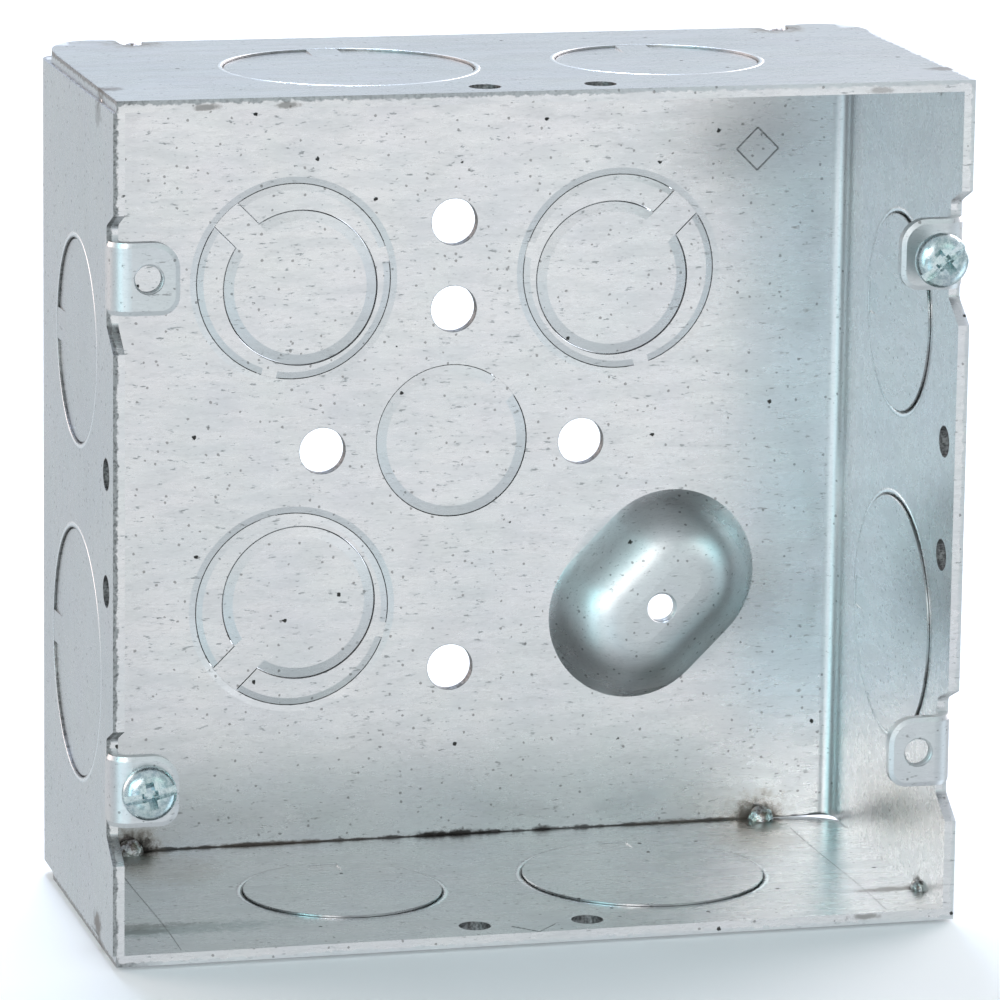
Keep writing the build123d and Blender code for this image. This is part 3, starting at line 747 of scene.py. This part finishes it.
# ---- Torn burrs that close the shear gaps round the knockouts; their dark steel is painted shade for the gaps ----
def torn_metal_and_gap_shade(name):
    """Fracture zone of a sheared edge: dull, dark and broken up. Where it closes the knockouts' shear gaps,
    its darkness is painted shade.
    """
    material = bpy.data.materials.new(name)
    g = Graph(material)
    place = g.millimetres()
    grit = g.noise(place, 2.5, 4.0, 0.75)
    color = g.mix(g.remap(grit, 0.35, 0.65), gray(0.18, 0.02), gray(0.5, 0.01))
    g.finish(color, g.remap(grit, 0.3, 0.7, 0.45, 0.65), g.bump(grit, 0.4, 0.0001))
    return material


# Dark torn steel, also used as painted shade in the knockouts' shear gaps.
burr_and_gap_shade_steel = torn_metal_and_gap_shade("torn_burr_and_gap_shade")
BURR_ROOT = 0.05              # how far a burr starts inside its slug
BAR_REACH = 0.1               # how far a bridge's burr stands into its gap


def add_burr(name, body, centre, tie_way, inward, radius, reach, levels, arcs):
    """Bands on a slug's edge. Angles run from its tie, levels from the wall's outer face."""
    across = tie_way.cross(inward)
    low, high = levels
    bm = bmesh.new()
    for start, stop in arcs:
        rows = []
        steps = max(2, round((stop - start) / 2))
        for step in range(steps + 1):
            turn = math.radians(start + (stop - start) * step / steps)
            out = tie_way * math.cos(turn) + across * math.sin(turn)
            corners = ((-BURR_ROOT, high), (reach, high - 0.1), (reach, low), (-BURR_ROOT, low))
            rows.append([centre + out * (radius + away) + inward * level for away, level in corners])
        skin_bar(bm, rows)
    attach(finish_piece(name, bm, burr_and_gap_shade_steel), body)


def add_bars(name, body, centre, tie_way, inward, span, half_width, levels):
    """Torn bars along both straight edges of a bridge strip, which close its shear gaps with dark steel as
    painted shade.
    """
    across = tie_way.cross(inward)
    bm = bmesh.new()
    for side in (-1, 1):
        rows = []
        for along in span:
            corners = ((-BURR_ROOT, levels[0]), (BAR_REACH, levels[0]), (BAR_REACH, levels[1]),
                       (-BURR_ROOT, levels[1]))
            rows.append([centre + tie_way * along + across * side * (half_width + away) + inward * level
                         for away, level in corners])
        skin_bar(bm, rows)
    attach(finish_piece(name, bm, burr_and_gap_shade_steel), body)


SLIT = 0.15                   # shear gap round a knockout
SLIT_BURR = SLIT - 0.02
TIE_ARC = 13                  # half of what a tie takes up of the circle, in degrees
NUB_ARC = 7
NUBS = (120, 240)             # a ring's two ties, in degrees from the bridge
BACK_LEVELS = (0.35, 1.25)
WALL_LEVELS = (0.75, 1.38)
RING_LEVELS = (0.35, 1.3)
for node in frame["nodes"]:
    if not node.startswith("knockout"):
        continue
    inward = inward_from(node)
    middle = outer_middle(node, inward)
    tie_way, radius = level_direction(middle, tie_place(node), inward)
    levels = BACK_LEVELS if node == "knockout_back_centre" else WALL_LEVELS
    add_burr(node + "_burr", node + "_slug", middle, tie_way, inward, radius - SLIT, SLIT_BURR, levels,
             [(TIE_ARC, 360 - TIE_ARC)])

DISC_RADIUS = 11.0
RING_SLIT = 0.2               # shear gap between a disc and its ring
BRIDGE_HALF = 2.3
DISC_BURR_LEVELS = (0.1, 0.5)          # low enough for the ring to swing past it
for corner in ("upper_left", "upper_right", "lower_left"):
    ring, disc = "eccentric_ring_" + corner, "eccentric_disc_" + corner
    inward = inward_from(ring)
    middle = outer_middle(ring, inward)
    tie_way, radius = level_direction(middle, tie_place(disc), inward)
    stops = [TIE_ARC] + [turn + side * NUB_ARC for turn in NUBS for side in (-1, 1)] + [360 - TIE_ARC]
    add_burr(ring + "_burr", ring + "_slug", middle, tie_way, inward, radius - SLIT, SLIT_BURR, RING_LEVELS,
             list(zip(stops[::2], stops[1::2])))
    low, high = node_box(disc)
    # The disc's far edge touches its box on both sides, so its centre lies one radius inside them.
    disc_middle = Vector((
        low.x + DISC_RADIUS if tie_way.x > 0 else high.x - DISC_RADIUS, 0,
        low.z + DISC_RADIUS if tie_way.z > 0 else high.z - DISC_RADIUS,
    ))
    add_burr(disc + "_burr", disc + "_slug", disc_middle, tie_way, inward, DISC_RADIUS, RING_SLIT / 2,
             DISC_BURR_LEVELS, [(TIE_ARC + 3, 357 - TIE_ARC)])
    disc_edge = (disc_middle - middle).dot(tie_way) + math.sqrt(DISC_RADIUS ** 2 - BRIDGE_HALF ** 2)
    add_bars(disc + "_bridge_burr", disc + "_slug", middle, tie_way, inward,
             (disc_edge + RING_SLIT, math.sqrt((radius - SLIT) ** 2 - (BRIDGE_HALF + SLIT) ** 2)),
             BRIDGE_HALF, RING_LEVELS)


# ---- Scribed and stamped marks ----
def groove(bm, points, across, up, width=0.16, height=0.035):
    """A fine raised burr along a scribed line."""
    rows = []
    for point in points:
        rows.append([
            point - across * width / 2 - up * 0.02, point - across * width / 6 + up * height,
            point + across * width / 6 + up * height, point + across * width / 2 - up * 0.02,
        ])
    skin_bar(bm, rows)


LAYOUT_X = 50.0               # the layout lines across the end plates
RIM_MARK = (3.1, 3.3)         # reach of each arm of the centre mark
DIAMOND_MIDDLE = (44.6, -SHEET, 41.75)
DIAMOND_REACH = 3.1


def scribed_lines():
    """Layout lines on the end plates' inner faces, and a centre mark at the bottom plate's rim."""
    bm = bmesh.new()
    for z, up in ((-PLATE_IN, Vector((0, 0, 1))), (PLATE_IN, Vector((0, 0, -1)))):
        for x in (-LAYOUT_X, LAYOUT_X):
            line = [Vector((x + 0.25 * math.sin(y * 0.11), y, z)) for y in range(-53, -5, 3)]
            groove(bm, line, Vector((1, 0, 0)), up)
    tip = Vector((0.0, -DEPTH + 0.2, -PLATE_IN))
    for side in (-1, 1):
        arm = tip + Vector((side * RIM_MARK[0], RIM_MARK[1], 0))
        across = (arm - tip).cross(Vector((0, 0, 1))).normalized()
        groove(bm, [tip, arm], across, Vector((0, 0, 1)), 0.22, 0.05)
    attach(finish_piece("scribed_lines", bm, burr_and_gap_shade_steel), BODY)


def stamped_diamond():
    """A plain inspector's stamp on the back, upper right."""
    bm = bmesh.new()
    centre = Vector(DIAMOND_MIDDLE)
    corners = [centre + DIAMOND_REACH * Vector(way) for way in ((1, 0, 0), (0, 0, 1), (-1, 0, 0), (0, 0, -1))]
    for start, end in zip(corners, corners[1:] + corners[:1]):
        across = (end - start).cross(Vector((0, 1, 0))).normalized()
        groove(bm, [start, end], across, Vector((0, -1, 0)), 0.3, 0.07)
    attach(finish_piece("stamped_diamond", bm, burr_and_gap_shade_steel), BODY)


scribed_lines()
stamped_diamond()


# ---- Stage, light and camera ----
FLOOR_SIZE = 6
FLOOR_GAP = 0.0001
CAMERA_PLACE = (-0.222637, -0.890601, 0.187359)
CAMERA_TURN = (78.1658, -0.7346, -14.4293)
LENS = 235.69
SENSOR = 36
SHIFT = (-0.01038, -0.02147)
CENTRE = Vector((0, -0.03, 0))
TOP_LIGHT_DISTANCE = 1.2
TOP_LIGHT_SIZE = 0.34
TOP_LIGHT_POWER = 9.4
TOP_LIGHT_COLOR = (0.62, 0.75, 1.0)
ROOM_LIGHT = (0.605, 0.665, 0.71)
# Soft lights round the box: azimuth, elevation and radius in degrees, then radiance.
SOFT_LIGHTS = (
    (-26, 18, 14, (5.85, 5.75, 5.7)),
    (-52, 18, 14, (2.26, 5.1, 5.4)),
    (-52, -6, 14, (1.2, 1.8, 2.0)),
    (-26, -18, 14, (0.46, 0.45, 0.5)),
    (-13, -18, 14, (0.45, 0.9, 1.05)),
    (13, -6, 14, (0.68, 0.6, 0.56)),
    (26, -6, 14, (0.12, 0.2, 0.25)),
    (26, 18, 14, (0.45, 0.68, 0.6)),
    (80, -30, 25, (0.9, 1.1, 1.25)),
    (130, 20, 30, (5.4, 5.0, 5.2)),
    (-130, 20, 30, (2.7, 2.1, 1.9)),
)


def area_light(name, place, target, size, power, color=(1, 1, 1)):
    data = bpy.data.lights.new(name, "AREA")
    data.shape = "RECTANGLE"
    data.size, data.size_y = size
    data.energy = power
    data.color = color
    light = bpy.data.objects.new(name, data)
    bpy.context.scene.collection.objects.link(light)
    light.location = place
    light.rotation_euler = (Vector(target) - Vector(place)).to_track_quat("-Z", "Y").to_euler()
    return light


def aim(azimuth, elevation):
    """Unit vector. Azimuth 0 is in front of the box and grows to its right."""
    a, e = math.radians(azimuth), math.radians(elevation)
    return Vector((math.sin(a) * math.cos(e), -math.cos(a) * math.cos(e), math.sin(e)))


def make_world():
    """White surroundings for the camera. Everything else sees a dim room hung with soft lights."""
    world = bpy.data.worlds.new("studio")
    bpy.context.scene.world = world
    g = Graph(world)
    way = g.vector("NORMALIZE", g.add("TexCoord"))
    light = ROOM_LIGHT
    for azimuth, elevation, radius, radiance in SOFT_LIGHTS:
        facing = g.dot(way, aim(azimuth, elevation))
        glow = g.remap(facing, math.cos(math.radians(radius)), 1.0)
        light = g.add("VectorMath", {0: glow, 1: radiance, 2: light}, operation="MULTIPLY_ADD")
    room = g.add("Background", {"Color": light})
    seen = g.add("Background", {"Color": (1, 1, 1, 1)})
    shader = g.add("MixShader", {0: g.add("LightPath"), 1: room, 2: seen})
    output = g.tree.nodes.new("ShaderNodeOutputWorld")
    g.tree.links.new(shader, output.inputs["Surface"])


def make_floor():
    bpy.ops.mesh.primitive_plane_add(size=FLOOR_SIZE, location=(0, 0, cad_box[0].z - FLOOR_GAP))
    floor = bpy.context.object
    floor.name = "studio_floor"
    material = bpy.data.materials.new("studio_floor")
    g = Graph(material)
    cloud = g.noise(g.millimetres(), 0.01, 2.0)
    color = g.mix(cloud, gray(0.93), gray(0.97))
    g.finish(color, 0.8, g.bump(cloud, 0.02, 0.001), metallic=0.0)
    floor.data.materials.append(material)
    floor.visible_glossy = False
    floor.visible_diffuse = False
    floor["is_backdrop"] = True


def make_camera():
    data = bpy.data.cameras.new("camera")
    data.lens = LENS
    data.sensor_width = SENSOR
    data.shift_x, data.shift_y = SHIFT
    data.clip_start, data.clip_end = 0.05, 20
    camera = bpy.data.objects.new("camera", data)
    bpy.context.scene.collection.objects.link(camera)
    camera.location = CAMERA_PLACE
    camera.rotation_euler = Euler([math.radians(angle) for angle in CAMERA_TURN])
    bpy.context.scene.camera = camera


make_world()
make_floor()
make_camera()
area_light("top_light", CENTRE + aim(180, 60) * TOP_LIGHT_DISTANCE, CENTRE, (TOP_LIGHT_SIZE,) * 2,
           TOP_LIGHT_POWER, TOP_LIGHT_COLOR)
bpy.context.scene.view_settings.view_transform = "Standard"

low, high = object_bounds()
